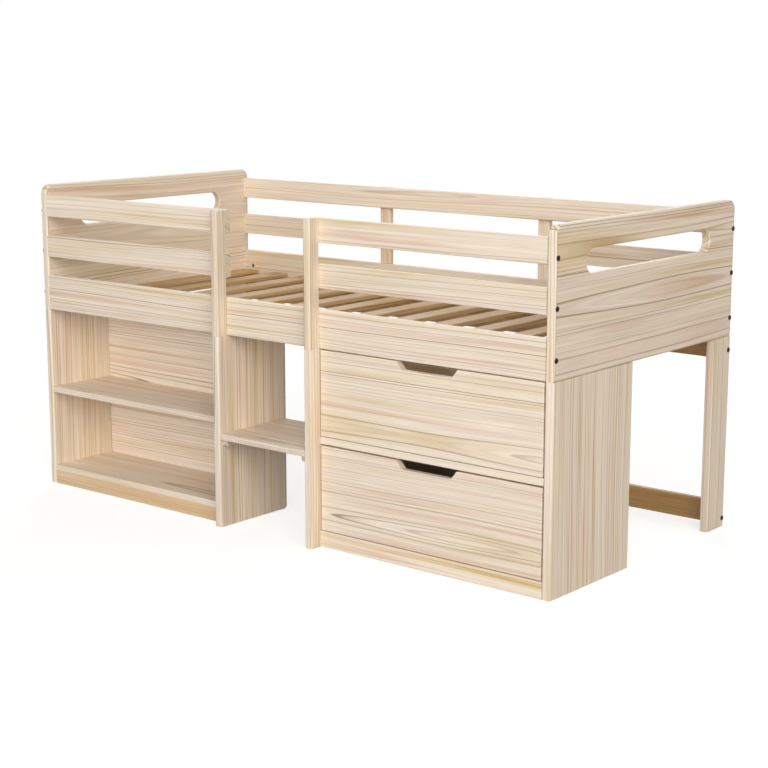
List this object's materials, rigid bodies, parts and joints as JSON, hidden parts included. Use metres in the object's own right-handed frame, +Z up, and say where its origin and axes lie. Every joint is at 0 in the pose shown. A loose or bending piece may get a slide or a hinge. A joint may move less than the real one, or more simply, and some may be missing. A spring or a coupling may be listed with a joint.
{
  "type": "mid sleeper cabin bed",
  "caption": "Raised single bed of pine with guard rails, an entry gap with a step, an open bookcase and a cabinet with sliding drawers underneath.",
  "frame": {"origin": "on the floor, below the middle of the bed's outline", "axes": "+X along the bed towards the drawer cabinet, +Y to the rear (wall) side, +Z up"},
  "size_m": [2.0648, 1.029, 1.02],
  "materials": {
    "pine": "clear matt lacquer over planed pine",
    "pine_plywood": "clear matt lacquer over pine-faced board",
    "beech": "planed, waxed",
    "bronzed_steel": "dark bronze, satin",
    "zinc_steel": "zinc plated"
  },
  "bodies": {
    "bed_frame": {"end_panel_left": "pine", "end_panel_right": "pine", "rear_leg_left": "pine", "rear_leg_right": "pine", "front_side_rail": "pine", "rear_side_rail": "pine", "front_mid_rail_left": "pine", "front_mid_rail_right": "pine", "front_top_rail_left": "pine", "front_top_rail_right": "pine", "rear_mid_rail": "pine", "rear_top_rail": "pine", "rear_stretcher_upper": "pine", "rear_stretcher_lower": "pine", "entry_stile_left": "pine", "entry_stile_right": "pine", "rear_guard_post_left": "pine", "rear_guard_post_right": "pine", "front_ledger": "pine", "rear_ledger": "pine", "slat_01": "pine", "slat_02": "pine", "slat_03": "pine", "slat_04": "pine", "slat_05": "pine", "slat_06": "pine", "slat_07": "pine", "slat_08": "pine", "slat_09": "pine", "slat_10": "pine", "slat_11": "pine", "slat_12": "pine", "slat_13": "pine", "slat_14": "pine", "side_panel_left": "pine", "bookcase_inner_side": "pine", "bookcase_middle_shelf": "pine", "bookcase_bottom_shelf": "pine", "bookcase_plinth": "pine", "bookcase_back": "pine_plywood", "step_board": "pine", "step_cleats": "pine", "cabinet_inner_side": "pine", "side_panel_right": "pine", "cabinet_divider_rail": "pine", "cabinet_plinth": "pine", "cabinet_back": "pine_plywood", "drawer_runners": "beech", "frame_bolts": "bronzed_steel", "barrel_nuts": "zinc_steel", "wood_screws": "zinc_steel", "dowels": "beech"},
    "upper_drawer": {"upper_drawer_front": "pine", "upper_drawer_sides": "pine", "upper_drawer_back": "pine", "upper_drawer_bottom": "pine_plywood"},
    "lower_drawer": {"lower_drawer_front": "pine", "lower_drawer_sides": "pine", "lower_drawer_back": "pine", "lower_drawer_bottom": "pine_plywood"}
  },
  "joints": [
    {"name": "upper_drawer_slide", "type": "slide", "parent": "bed_frame", "child": "upper_drawer", "axis": [0, -1, 0], "range_m": [0, 0.25]},
    {"name": "lower_drawer_slide", "type": "slide", "parent": "bed_frame", "child": "lower_drawer", "axis": [0, -1, 0], "range_m": [0, 0.25]}
  ]
}
